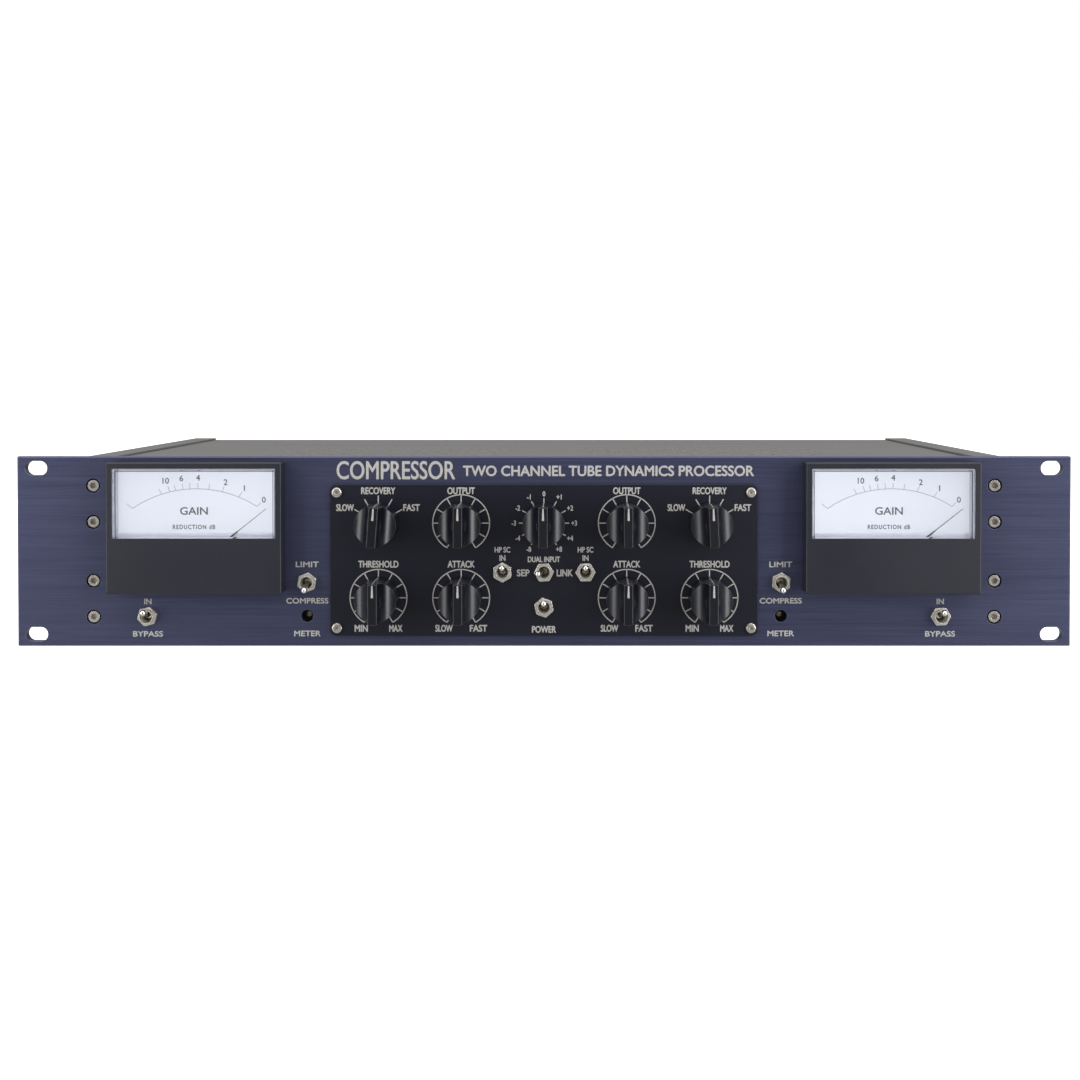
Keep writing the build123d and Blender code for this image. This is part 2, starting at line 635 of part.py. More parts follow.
def make_xlr_shell(x, bore_radius, rear_y):
    """A square-flanged shell with its screw holes and a round socket."""
    outline = RectangleRounded(XLR_FLANGE_WIDTH, XLR_FLANGE_HEIGHT, 3.0)
    face = CHASSIS_DEPTH + CONNECTOR_FLANGE
    shell = prism(outline, x, 0, CHASSIS_DEPTH, face) + rod(x, 0, rear_y, face, XLR_BARREL_RADIUS)
    cutters = [rod(x, 0, rear_y + 4.0, face + 1, bore_radius)]
    for sx, sz in ((-XLR_SCREW_X, XLR_SCREW_Z), (XLR_SCREW_X, -XLR_SCREW_Z)):
        cutters.append(rod(x + sx, sz, CHASSIS_DEPTH - 1, face + 1, SMALL_SCREW_RADIUS))
    return shell - cutters


def xlr_contacts(x, radius, y0, y1):
    """Three contacts of an XLR connector."""
    return [rod(x + dx, dz, y0, y1, radius) for dx, dz in ((-4.4, 0), (4.4, 0), (0, -4.4))]


def make_xlr_inputs():
    """Female sockets, each with an insert and a pocket for its latch."""
    solids = []
    face = CHASSIS_DEPTH + CONNECTOR_FLANGE
    for x in XLR_INPUT_X:
        pocket = block(x - 4.3, x + 4.3, CHASSIS_DEPTH + 0.2, face + 1, 10.6, 14.6)
        solids.append(make_xlr_shell(x, 9.5, 202.0) - pocket)
        insert = rod(x, 0, 206.0, face - 0.8, 7.9)
        solids.append(insert - xlr_contacts(x, 1.3, face - 12, face))
    return Compound(solids)


def make_xlr_latch(x):
    """The push tab that releases a plug."""
    face = CHASSIS_DEPTH + CONNECTOR_FLANGE
    return block(x - 4.0, x + 4.0, face - 0.8, face + 0.9, 10.9, 14.3)


def make_xlr_outputs():
    """Male sockets with their three pins."""
    solids = []
    for x in XLR_OUTPUT_X:
        solids.append(make_xlr_shell(x, 8.4, 204.0))
        solids += xlr_contacts(x, 1.2, 208.0, CHASSIS_DEPTH - 0.6)
    return Compound(solids)


def make_power_inlet():
    """A mains inlet with its blades and the slot for the fuse drawer."""
    x, face = INLET_X, CHASSIS_DEPTH + CONNECTOR_FLANGE
    body = prism(RectangleRounded(50.0, 31.0, 4.0), x, 0, CHASSIS_DEPTH, face)
    body += block(x - 13.75, x + 13.75, 203.0, CHASSIS_DEPTH, -14.0, 14.4)
    mouth = block(x - 12.25, x + 12.25, 208.0, face + 1, -12.0, 4.4)
    mouth = chamfer(mouth.edges().filter_by(Axis.Y).sort_by(Axis.Z)[:2], 4.0)
    drawer_slot = block(x - 11.4, x + 11.4, 206.0, face + 1, 6.1, 13.2)
    body -= [mouth, drawer_slot]
    body -= [rod(x + side * INLET_SCREW_X, 0, CHASSIS_DEPTH - 1, face + 1, SMALL_SCREW_RADIUS)
             for side in SIDES.values()]
    blades = [block(x + dx - 1, x + dx + 1, 208.0, CHASSIS_DEPTH - 1, dz - 2, dz + 2)
              for dx, dz in ((-7, -6), (7, -6), (0, -2))]
    return Compound([body] + blades)


def make_fuse_drawer():
    """The drawer above the inlet that pulls out with the fuses."""
    x, face = INLET_X, CHASSIS_DEPTH + CONNECTOR_FLANGE
    tray = block(x - 11.1, x + 11.1, 206.5, face, 6.4, 12.9)
    wells = [block(x + dx - 2.6, x + dx + 2.6, 208.0, face - 4, 8.0, 14.0) for dx in (-5.0, 5.0)]
    grip = block(x - 4.0, x + 4.0, face, face + 0.9, 8.4, 11.4)
    return tray - wells + grip


# Inside

def board_corners(board):
    """Standoff places of a board."""
    x0, x1, y0, y1 = board
    inset = STANDOFF_INSET
    return [(x, y) for x in (x0 + inset, x1 - inset) for y in (y0 + inset, y1 - inset)]


def make_board(board):
    """A circuit board with its four mounting holes."""
    x0, x1, y0, y1 = board
    sheet = block(x0, x1, y0, y1, BOARD_Z, BOARD_Z + BOARD_THICKNESS)
    return sheet - [post(x, y, BOARD_Z - 1, BOARD_Z + 3, 1.6) for x, y in board_corners(board)]


def make_board_standoffs():
    """Pillars under the boards, each with the screw that holds the board down."""
    solids = []
    for board in (AUDIO_BOARD, POWER_BOARD):
        for x, y in board_corners(board):
            solids.append(post(x, y, FLOOR, BOARD_Z, 3.0))
            top = BOARD_Z + BOARD_THICKNESS
            solids.append(post(x, y, BOARD_Z, top, 1.5) + post(x, y, top, top + 1.8, 2.8))
    return Compound(solids)


def make_tube_sockets():
    """Ceramic sockets on the audio board."""
    base = BOARD_Z + BOARD_THICKNESS
    return Compound([post(x, TUBE_Y, base, base + 9.0, 11.5) - post(x, TUBE_Y, base + 6.0, base + 10, 9.2)
                     for x in TUBE_X])


def make_tube(x):
    """A nine-pin miniature tube: glass bulb with a drawn tip."""
    base = BOARD_Z + BOARD_THICKNESS + 6.0
    bulb = fillet(post(0, 0, 0, 50.0, 9.0).edges().sort_by(Axis.Z)[-1:], 7.0)
    nib = Pos(0, 0, 51.5) * Cone(2.4, 0.8, 4.0)
    return Pos(x, TUBE_Y, base) * (bulb + nib)


def make_power_transformer():
    """A toroid under a dished washer and its bolt."""
    x, y = TOROID_X, TOROID_Y
    ring = post(x, y, FLOOR, FLOOR + TOROID_HEIGHT, TOROID_RADIUS)
    ring = fillet(ring.edges().filter_by(GeomType.CIRCLE), 9.0)
    ring -= post(x, y, FLOOR - 1, FLOOR + TOROID_HEIGHT + 1, 14.0)
    top = FLOOR + TOROID_HEIGHT
    washer = post(x, y, top, top + 2.0, 26.0) - post(x, y, top - 1, top + 3, TOROID_BOLT_RADIUS + 0.1)
    bolt = post(x, y, -COVER_TOP, top + 2.0, TOROID_BOLT_RADIUS) + post(x, y, top + 2, top + 6, 5.0)
    return Compound([ring, washer, bolt])


def make_audio_transformers():
    """Four shielded cans along the back, two for each channel."""
    return Compound([
        fillet(post(x, 181.0, FLOOR, FLOOR + 38.0, 15.0).edges().sort_by(Axis.Z)[-1:], 2.0)
        for x in (-104.0, -64.0, 8.0, 48.0)
    ])


def make_filter_capacitors():
    """Six reservoir capacitors on the power board."""
    base = BOARD_Z + BOARD_THICKNESS
    return Compound([
        fillet(post(x, y, base, base + 45.0, 12.5).edges().sort_by(Axis.Z)[-1:], 1.5)
        for x in (-179.0, -146.0) for y in (80.0, 114.0, 148.0)
    ])


def save(name, shape):
    """Write one node."""
    export_step(shape, f"parts/{name}.step")


def main():
    os.makedirs("parts", exist_ok=True)
    save("front_panel", make_front_panel())
    save("control_plate", make_control_plate())
    save("front_panel_screws", make_front_panel_screws())
    save("control_plate_screws", make_control_plate_screws())
    save("top_cover", make_top_cover())
    save("bottom_cover", make_bottom_cover())
    save("rear_panel", make_rear_panel())
    save("rear_panel_screws", make_rear_panel_screws())

    knob = make_knob()
    for name, (x, z, _, lean) in DIALS.items():
        save(name, Compound([Pos(x, 0, z) * Rot(0, lean, 0) * solid for solid in knob]))
    save("potentiometers", make_controls("pot", POT_RADIUS, POT_DEPTH, lugs=3))
    save("rotary_switches", make_controls("switch", ROTARY_RADIUS, ROTARY_DEPTH, lugs=5))
    save("control_nuts", make_control_nuts())

    for name, (x, z, lean, _, _) in TOGGLES.items():
        save(name, make_lever(x, z, lean))
    save("toggle_bodies", make_toggle_bodies())
    save("toggle_nuts", make_toggle_nuts())

    for name, side in SIDES.items():
        x = side * METER_X
        save(f"{name}_side_rail", make_side_rail(side))
        save(f"{name}_meter_housing", make_meter_housing(x))
        save(f"{name}_meter_window", make_meter_window(x))
        save(f"{name}_meter_scale", make_meter_scale(x))
        save(f"{name}_meter_pointer", make_meter_pointer(x))
        save(f"{name}_trimmer_rotor", make_trimmer_rotor(side * TRIMMER_X))
    save("meter_movements", make_meter_movements())
    save("meter_clamp_rings", make_meter_clamp_rings())
    save("trimmer_bodies", make_trimmer_bodies())

    save("xlr_inputs", make_xlr_inputs())
    save("xlr_outputs", make_xlr_outputs())
    for name, x in zip(("left", "right"), XLR_INPUT_X):
        save(f"{name}_xlr_latch", make_xlr_latch(x))
    save("connector_screws", make_connector_screws())
    save("power_inlet", make_power_inlet())
    save("fuse_drawer", make_fuse_drawer())

    save("audio_board", make_board(AUDIO_BOARD))
    save("power_board", make_board(POWER_BOARD))
    save("board_standoffs", make_board_standoffs())
    save("tube_sockets", make_tube_sockets())
    save("tubes", Compound([make_tube(x) for x in TUBE_X]))
    save("power_transformer", make_power_transformer())
    save("audio_transformers", make_audio_transformers())
    save("filter_capacitors", make_filter_capacitors())


main()
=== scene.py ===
import json
import math

import bmesh
import bpy
from mathutils import Matrix, Vector

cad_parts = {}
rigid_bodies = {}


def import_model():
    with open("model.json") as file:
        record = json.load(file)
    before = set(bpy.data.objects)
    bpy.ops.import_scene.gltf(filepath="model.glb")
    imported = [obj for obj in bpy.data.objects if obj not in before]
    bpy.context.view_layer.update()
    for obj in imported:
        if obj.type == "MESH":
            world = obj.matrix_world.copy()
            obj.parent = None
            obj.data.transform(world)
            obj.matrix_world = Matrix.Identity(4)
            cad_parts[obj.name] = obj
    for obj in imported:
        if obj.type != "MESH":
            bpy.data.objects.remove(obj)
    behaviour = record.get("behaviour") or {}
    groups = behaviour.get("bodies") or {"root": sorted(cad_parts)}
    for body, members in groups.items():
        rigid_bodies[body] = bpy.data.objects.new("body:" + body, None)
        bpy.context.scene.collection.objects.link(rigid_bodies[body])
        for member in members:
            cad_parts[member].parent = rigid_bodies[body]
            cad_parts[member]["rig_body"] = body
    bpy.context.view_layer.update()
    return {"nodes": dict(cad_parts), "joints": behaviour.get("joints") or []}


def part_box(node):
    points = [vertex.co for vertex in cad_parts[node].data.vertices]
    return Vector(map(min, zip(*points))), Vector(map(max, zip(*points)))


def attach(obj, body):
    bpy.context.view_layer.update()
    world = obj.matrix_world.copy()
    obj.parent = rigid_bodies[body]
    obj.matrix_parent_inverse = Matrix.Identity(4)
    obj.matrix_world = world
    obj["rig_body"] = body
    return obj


# A two-channel rack compressor. Metres, in the CAD frame: +X right seen from the front,
# +Y to the rear, +Z up. Every place is worked out from the CAD nodes' boxes.

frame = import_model()
nodes = frame["nodes"]

MM = 0.001
CHASSIS = "chassis"
KNOBS = [name for name in nodes if name.endswith("_knob")]
LEVERS = [name for name in nodes if name.endswith("_lever")]
SIDES = ("left", "right")

# Printing stands this far off its surface and is this thick. Each shifted copy of bold
# lettering is one step further forward.
PRINT_LIFT = 0.03 * MM
PRINT_THICKNESS = 0.02 * MM
PRINT_STEP = 0.002 * MM


def middle(node):
    """Centre of a CAD node's box."""
    low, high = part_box(node)
    return (low + high) / 2


panel_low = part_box("front_panel")[0]
PANEL_FACE = panel_low.y
PLATE_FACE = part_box("control_plate")[0].y


def joint_place(body):
    """X and Z of the joint that holds a body."""
    joint = next(j for j in frame["joints"] if j["child"] == body)
    x, _, z = joint["pos_m"]
    return x, z


# A bar knob's shape: its gap behind, its length, and its radius at the front and the rim
KNOB_GAP = 1.3 * MM
KNOB_LENGTH = 22.6 * MM
KNOB_FRONT_RADIUS = 9.1 * MM
KNOB_RIM_RADIUS = 9.45 * MM
KNOB_RIM = 0.53 * KNOB_LENGTH
KNOB_LINE_FROM_MM = 8.6
KNOB_LINE_TO_MM = 3.2
KNOB_LINE_WIDTHS = (0.6 * MM, 1.0 * MM)
END_LINE_START = 0.5 * MM
END_LINE_HALF = 0.25 * MM
END_LINE_LIFT = 0.05 * MM
KNOB_LEAN = {"left_recovery_knob": 4.0, "right_recovery_knob": -2.5}


# Camera

EYE_X = 12.8 * MM
EYE_DISTANCE = 725 * MM
EYE_Z = 80.7 * MM
EYE_TILT = math.radians(89.0)


def make_camera():
    """The eye is in front of the panel, to the right of its middle and above it."""
    data = bpy.data.cameras.new("camera")
    data.lens = 52.84
    data.sensor_width = 36.0
    data.shift_x = -0.0296
    data.shift_y = -0.127
    data.clip_start = 0.05
    camera = bpy.data.objects.new("camera", data)
    camera.location = (EYE_X, PANEL_FACE - EYE_DISTANCE, EYE_Z)
    camera.rotation_euler = (EYE_TILT, 0, 0)
    bpy.context.scene.collection.objects.link(camera)
    bpy.context.scene.camera = camera


# Materials

def fill_ramp(ramp_node, stops):
    """Sets a colour ramp's stops."""
    elements = ramp_node.color_ramp.elements
    while len(elements) < len(stops):
        elements.new(0.5)
    for element, (position, colour) in zip(elements, stops):
        element.position = position
        element.color = (*colour, 1.0)


def grey_stops(stops):
    """The same stops with a grey for each level."""
    return [(position, (level, level, level)) for position, level in stops]


class Shader:
    """A short way to write one material's nodes."""

    def __init__(self, name):
        self.material = bpy.data.materials.new(name)
        self.material.use_nodes = True
        self.tree = self.material.node_tree
        self.main = self.tree.nodes["Principled BSDF"]

    def node(self, kind, **values):
        made = self.tree.nodes.new(kind)
        for key, value in values.items():
            setattr(made, key, value)
        return made

    def link(self, source, target):
        self.tree.links.new(source, target)

    def set(self, **values):
        """Constants on the shader's own sockets, named with underscores for spaces."""
        for key, value in values.items():
            self.main.inputs[key.replace("_", " ")].default_value = value

    def place(self, scale=(1, 1, 1)):
        """Object coordinates, stretched."""
        coordinates = self.node("ShaderNodeTexCoord")
        mapping = self.node("ShaderNodeMapping")
        mapping.inputs["Scale"].default_value = scale
        self.link(coordinates.outputs["Object"], mapping.inputs["Vector"])
        return mapping.outputs["Vector"]

    def noise(self, vector, scale, detail=3.0, roughness=0.5):
        made = self.node("ShaderNodeTexNoise")
        made.inputs["Scale"].default_value = scale
        made.inputs["Detail"].default_value = detail
        made.inputs["Roughness"].default_value = roughness
        self.link(vector, made.inputs["Vector"])
        return made.outputs["Fac"]

    def ramp(self, factor, stops):
        made = self.node("ShaderNodeValToRGB")
        fill_ramp(made, stops)
        self.link(factor, made.inputs["Fac"])
        return made.outputs["Color"]

    def spread(self, factor, low, high, start=0.0, end=1.0):
        made = self.node("ShaderNodeMapRange")
        made.inputs["From Min"].default_value = start
        made.inputs["From Max"].default_value = end
        made.inputs["To Min"].default_value = low
        made.inputs["To Max"].default_value = high
        self.link(factor, made.inputs["Value"])
        return made.outputs["Result"]

    def bump(self, height, strength, distance, normal=None):
        made = self.node("ShaderNodeBump")
        made.inputs["Strength"].default_value = strength
        made.inputs["Distance"].default_value = distance
        self.link(height, made.inputs["Height"])
        if normal:
            self.link(normal, made.inputs["Normal"])
        self.link(made.outputs["Normal"], self.main.inputs["Normal"])

    def mix(self, factor, first, second):
        """Two colours mixed by a factor. The second is a constant."""
        made = self.node("ShaderNodeMix", data_type="RGBA")
        self.link(factor, made.inputs[0])
        self.link(first, made.inputs[6])
        made.inputs[7].default_value = (*second, 1.0)
        return made.outputs[2]

    def rounded(self, size):
        """Normals that run smoothly over the edges."""
        made = self.node("ShaderNodeBevel", samples=4)
        made.inputs["Radius"].default_value = size
        return made.outputs["Normal"]

    def edges(self, rounded):
        """1 along the edges and 0 on the flats: the mask for a painted highlight along the edges.
        """
        flat = self.node("ShaderNodeNewGeometry").outputs["Normal"]
        dot = self.node("ShaderNodeVectorMath", operation="DOT_PRODUCT")
        self.link(rounded, dot.inputs[0])
        self.link(flat, dot.inputs[1])
        return self.spread(dot.outputs["Value"], 0.0, 1.0, 1.0, 0.85)


def grained(name, dark, light, roughness, scale, metallic=0.0, stretch=(1, 1, 1),
            bump=0.1, depth=0.02 * MM, edge_highlight=None, edge_size=0.25 * MM, **values):
    """A surface whose colour and roughness vary along a noise, with a fine bump. Its edges are a
    little rounded unless their size is 0, and lightened to a given colour along them as a painted
    highlight."""
    shader = Shader(name)
    vector = shader.place(stretch)
    fine = shader.noise(vector, scale)
    broad = shader.noise(shader.place(), 18.0, detail=2.0)
    colour = shader.ramp(fine, [(0.3, dark), (0.7, light)])
    normal = shader.rounded(edge_size) if edge_size else None
    # A lighter colour along the edges is a painted highlight.
    if edge_highlight:
        colour = shader.mix(shader.edges(normal), colour, edge_highlight)
    shader.link(colour, shader.main.inputs["Base Color"])
    low, high = roughness
    shader.link(shader.spread(broad, low, high, 0.3, 0.7), shader.main.inputs["Roughness"])
    shader.bump(fine, bump, depth, normal)
    shader.set(Metallic=metallic, **values)
    return shader.material


def make_panel_blue(name):
    """Blue anodised aluminium, brushed along its length."""
    shader = Shader(name)
    streaks = shader.noise(shader.place((0.35, 30, 30)), 60.0, detail=4.0, roughness=0.65)
    bands = shader.noise(shader.place((0.6, 8, 8)), 14.0, detail=2.0)
    colour = shader.ramp(streaks, [(0.3, (0.050, 0.054, 0.104)), (0.7, (0.066, 0.071, 0.128))])
    tint = shader.node("ShaderNodeMix", data_type="RGBA", blend_type="MULTIPLY")
    tint.inputs[0].default_value = 1.0
    shader.link(colour, tint.inputs[6])
    shader.link(shader.ramp(bands, [(0.3, (0.88, 0.88, 0.9)), (0.7, (1, 1, 1))]), tint.inputs[7])
    normal = shader.rounded(0.3 * MM)
    # A lighter blue along the edges is a painted highlight.
    painted_highlight = shader.mix(shader.edges(normal), tint.outputs[2], (0.16, 0.17, 0.24))
    shader.link(painted_highlight, shader.main.inputs["Base Color"])
    shader.link(shader.spread(streaks, 0.29, 0.39, 0.3, 0.7), shader.main.inputs["Roughness"])
    shader.bump(streaks, 0.25, 0.02 * MM, normal)
    shader.set(Metallic=0.6)
    return shader.material


# The lighter edge colours given below are painted highlights along the edges.
def make_plate_black(name):
    return grained(name, (0.0016, 0.0022, 0.0070), (0.0030, 0.0036, 0.0100), (0.42, 0.5), 2200.0,
                   bump=0.12, depth=0.01 * MM, edge_highlight=(0.02, 0.022, 0.03), Specular_IOR_Level=0.32)


def make_knob_black(name):
    return grained(name, (0.0016, 0.0020, 0.0045), (0.0030, 0.0035, 0.0068), (0.26, 0.34), 900.0,
                   bump=0.06, depth=0.02 * MM, edge_highlight=(0.035, 0.037, 0.045), edge_size=0.3 * MM)


def make_meter_black(name):
    return grained(name, (0.0072, 0.0078, 0.0135), (0.0100, 0.0106, 0.0170), (0.34, 0.42), 1500.0,
                   bump=0.08, depth=0.01 * MM, edge_highlight=(0.03, 0.031, 0.035), edge_size=0.3 * MM)


def make_chassis_grey(name):
    return grained(name, (0.118, 0.112, 0.107), (0.140, 0.133, 0.127), (0.55, 0.65), 900.0,
                   metallic=0.1, bump=0.15, depth=0.03 * MM, edge_highlight=(0.30, 0.29, 0.28),
                   edge_size=0.3 * MM)


def make_bright_nickel(name):
    return grained(name, (0.72, 0.68, 0.61), (0.80, 0.76, 0.69), (0.2, 0.28), 260.0,
                   metallic=0.78, bump=0.03, depth=0.005 * MM, edge_highlight=(0.92, 0.89, 0.82),
                   edge_size=0.3 * MM)


def make_lever_nickel(name):
    return grained(name, (0.74, 0.71, 0.66), (0.82, 0.79, 0.74), (0.12, 0.18), 260.0,
                   metallic=1.0, bump=0.02, depth=0.005 * MM)


def make_screw_nickel(name):
    return grained(name, (0.40, 0.37, 0.33), (0.52, 0.49, 0.44), (0.2, 0.3), 700.0,
                   metallic=0.7, bump=0.06, depth=0.01 * MM, edge_highlight=(0.7, 0.67, 0.62))


def make_switch_metal(name):
    return grained(name, (0.52, 0.49, 0.44), (0.66, 0.63, 0.57), (0.25, 0.38), 600.0,
                   metallic=0.65, bump=0.08, depth=0.01 * MM)


def make_dark_steel(name):
    return grained(name, (0.05, 0.05, 0.055), (0.09, 0.09, 0.095), (0.3, 0.42), 900.0,
                   metallic=0.9, bump=0.1, depth=0.01 * MM, edge_highlight=(0.25, 0.25, 0.25))


def make_plain_steel(name):
    return grained(name, (0.30, 0.30, 0.31), (0.42, 0.42, 0.42), (0.3, 0.45), 400.0,
                   metallic=1.0, bump=0.1, depth=0.01 * MM)


def make_can_steel(name):
    return grained(name, (0.22, 0.22, 0.23), (0.34, 0.34, 0.34), (0.25, 0.4), 120.0,
                   metallic=1.0, bump=0.12, depth=0.02 * MM)


def make_connector_nickel(name):
    return grained(name, (0.42, 0.41, 0.39), (0.55, 0.54, 0.51), (0.28, 0.4), 500.0,
                   metallic=1.0, bump=0.08, depth=0.01 * MM, edge_highlight=(0.8, 0.79, 0.75))


def make_standoff_brass(name):
    return grained(name, (0.42, 0.36, 0.19), (0.55, 0.48, 0.28), (0.25, 0.4), 700.0,
                   metallic=0.9, bump=0.08, depth=0.01 * MM, edge_highlight=(0.7, 0.62, 0.40))


# A lighter colour given for the edges is a painted highlight along them.
def make_plastic(name, dark, light, painted_highlight=None):
    return grained(name, dark, light, (0.4, 0.55), 1200.0, bump=0.1, depth=0.01 * MM, edge_highlight=painted_highlight)


def make_trimmer_blue(name):
    return make_plastic(name, (0.004, 0.006, 0.030), (0.007, 0.010, 0.045))


def make_inlet_black(name):
    return make_plastic(name, (0.010, 0.010, 0.011), (0.020, 0.020, 0.021), (0.08, 0.08, 0.08))


def make_pointer_black(name):
    return make_plastic(name, (0.012, 0.012, 0.015), (0.022, 0.022, 0.026))


def make_socket_ceramic(name):
    return make_plastic(name, (0.62, 0.60, 0.54), (0.74, 0.72, 0.66))


def make_capacitor_can(name):
    return make_plastic(name, (0.008, 0.015, 0.06), (0.014, 0.024, 0.09), (0.1, 0.12, 0.2))


def make_ink(name, dark, light):
    """Screen-printed ink: matt, and a little uneven."""
    return grained(name, dark, light, (0.5, 0.6), 1500.0, bump=0.05, edge_size=0)


def make_print_white(name):
    return make_ink(name, (0.32, 0.305, 0.285), (0.38, 0.365, 0.34))


def make_print_dim(name):
    return make_ink(name, (0.16, 0.16, 0.17), (0.20, 0.20, 0.21))


def make_print_dark(name):
    return make_ink(name, (0.035, 0.035, 0.045), (0.05, 0.05, 0.06))


def make_print_grey(name):
    return make_ink(name, (0.17, 0.17, 0.19), (0.22, 0.22, 0.24))


def make_liner_white(name):
    return grained(name, (0.42, 0.43, 0.52), (0.50, 0.51, 0.60), (0.12, 0.2), 300.0,
                   bump=0.03, edge_size=0)


def make_ledge_white(name):
    return grained(name, (0.78, 0.79, 0.90), (0.86, 0.87, 0.97), (0.3, 0.4), 300.0,
                   bump=0.03, edge_size=0)


def make_liner_dark(name):
    return grained(name, (0.015, 0.015, 0.03), (0.03, 0.03, 0.05), (0.3, 0.4), 900.0,
                   bump=0.05, edge_size=0)


def make_board_green(name):
    return grained(name, (0.010, 0.07, 0.03), (0.02, 0.12, 0.05), (0.3, 0.4), 300.0, bump=0.1)


def make_wound_core(name):
    """Copper-coloured winding under clear yellow tape."""
    return grained(name, (0.30, 0.13, 0.04), (0.52, 0.27, 0.09), (0.25, 0.4), 160.0,
                   metallic=0.4, stretch=(1, 1, 0.15), bump=0.3, depth=0.1 * MM)


def make_clear_window(name):
    """A clear polished pane."""
    shader = Shader(name)
    shader.set(Base_Color=(0.97, 0.98, 1.0, 1), Transmission_Weight=1.0, IOR=1.45, Roughness=0.02)
    shader.bump(shader.noise(shader.place(), 60.0, detail=1.0), 0.02, 0.02 * MM)
    return shader.material


def make_tube_glass(name):
    shader = Shader(name)
    shader.set(Base_Color=(0.9, 0.92, 0.92, 1), Transmission_Weight=0.9, IOR=1.5, Roughness=0.05)
    shader.bump(shader.noise(shader.place(), 90.0, detail=1.0), 0.05, 0.1 * MM)
    return shader.material


# How strongly the dial sheets glow, from the left one's outer side (0) to the right one's (1).
# # The glow is painted light in place of their backlight, and its fall at the outer sides is
# painted shade.
SCALE_PAINTED_LIGHT = ((0.0, 0.50), (0.2, 0.54), (0.8, 0.60), (1.0, 0.44))


def make_lit_scale(name):
    """White translucent dial sheets that glow as painted light, in place of the lamp behind them
    and the light through the pane, and a little dimmer towards the outer side of the right one as
    painted shade."""
    shader = Shader(name)
    coordinates = shader.place()
    mottle = shader.noise(coordinates, 40.0, detail=1.0)
    split = shader.node("ShaderNodeSeparateXYZ")
    shader.link(coordinates, split.inputs["Vector"])
    shader.link(shader.ramp(mottle, [(0.3, (0.26, 0.27, 0.31)), (0.7, (0.28, 0.29, 0.33))]),
                shader.main.inputs["Base Color"])
    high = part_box("right_meter_scale")[1]
    shader.set(Roughness=0.6, Emission_Color=(0.925, 0.94, 1.0, 1.0))
    across = shader.spread(split.outputs["X"], 0.0, 1.0, -high.x, high.x)
    # The glow's change across the sheets is painted light and shade.
    painted_glow = shader.ramp(across, grey_stops(SCALE_PAINTED_LIGHT))
    shader.link(painted_glow, shader.main.inputs["Emission Strength"])
    return shader.material


MAKERS = {
    "panel_blue": make_panel_blue,
    "plate_black": make_plate_black,
    "dark_steel": make_dark_steel,
    "meter_black": make_meter_black,
    "clear_window": make_clear_window,
    "lit_scale": make_lit_scale,
    "pointer_black": make_pointer_black,
    "plain_steel": make_plain_steel,
    "switch_metal": make_switch_metal,
    "bright_nickel": make_bright_nickel,
    "chassis_grey": make_chassis_grey,
    "connector_nickel": make_connector_nickel,
    "inlet_black": make_inlet_black,
    "knob_black": make_knob_black,
    "board_green": make_board_green,
    "standoff_brass": make_standoff_brass,
    "socket_ceramic": make_socket_ceramic,
    "tube_glass": make_tube_glass,
    "wound_core": make_wound_core,
    "can_steel": make_can_steel,
    "capacitor_can": make_capacitor_can,
    "trimmer_blue": make_trimmer_blue,
}


# Mesh helpers

def new_piece(name, mesh, material, body):
    """A finished mesh as a piece that rides on a CAD body."""
    mesh.materials.clear()
    mesh.materials.append(material)
    piece = bpy.data.objects.new(name, mesh)
    bpy.context.scene.collection.objects.link(piece)
    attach(piece, body)
    return piece


